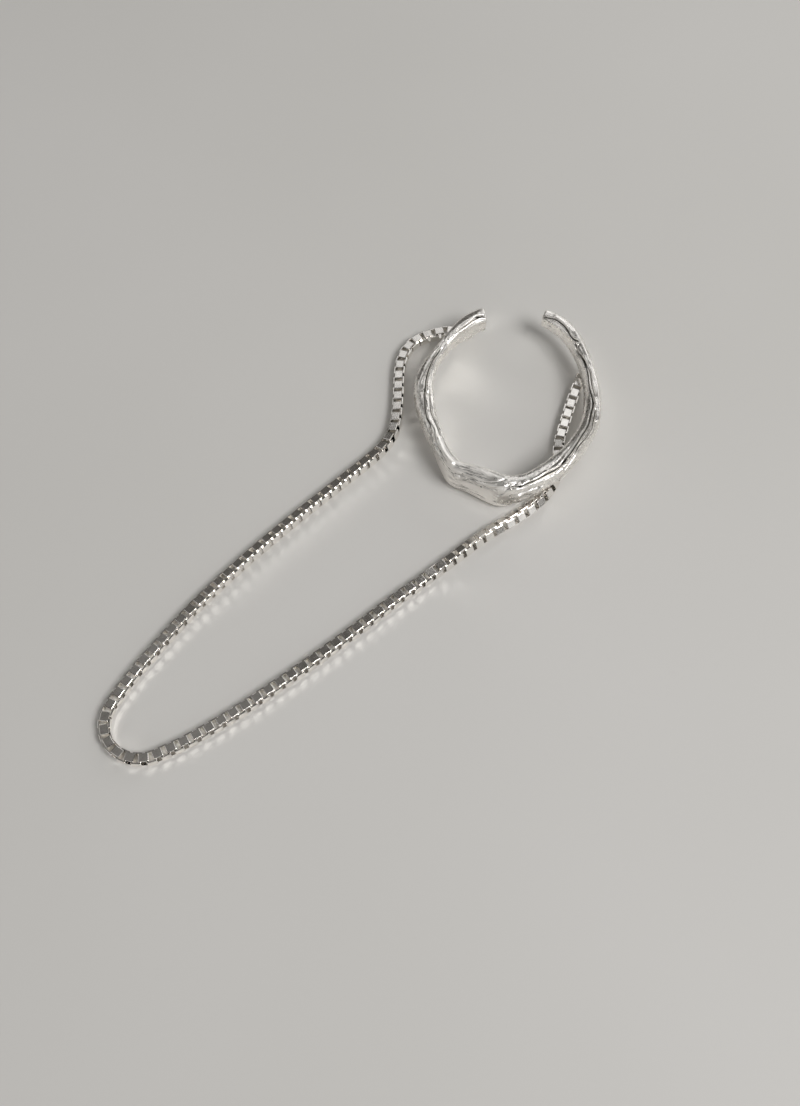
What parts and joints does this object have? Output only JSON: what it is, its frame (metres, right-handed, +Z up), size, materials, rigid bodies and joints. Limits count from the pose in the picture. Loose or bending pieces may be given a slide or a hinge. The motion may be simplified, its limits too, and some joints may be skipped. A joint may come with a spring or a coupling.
{
  "type": "ear cuff with chain loop",
  "caption": "Open cast silver ear cuff with a folded, bark-like surface, and a loop of fine box chain fastened behind its two arms.",
  "frame": {"origin": "middle of the cuff's opening, on the surface that the cuff and the chain lie on", "axes": "+Z up from the surface, out of the cuff's folded front; +Y towards the gap between the cuff's tips; +X towards the right arm as seen from the front"},
  "size_m": [0.036, 0.0364, 0.0032],
  "materials": {
    "cast_silver": "bright cast silver, dark in its creases",
    "chain_silver": "polished silver box chain"
  },
  "bodies": {
    "root": {"cuff": "cast_silver", "chain": "chain_silver"}
  },
  "joints": []
}
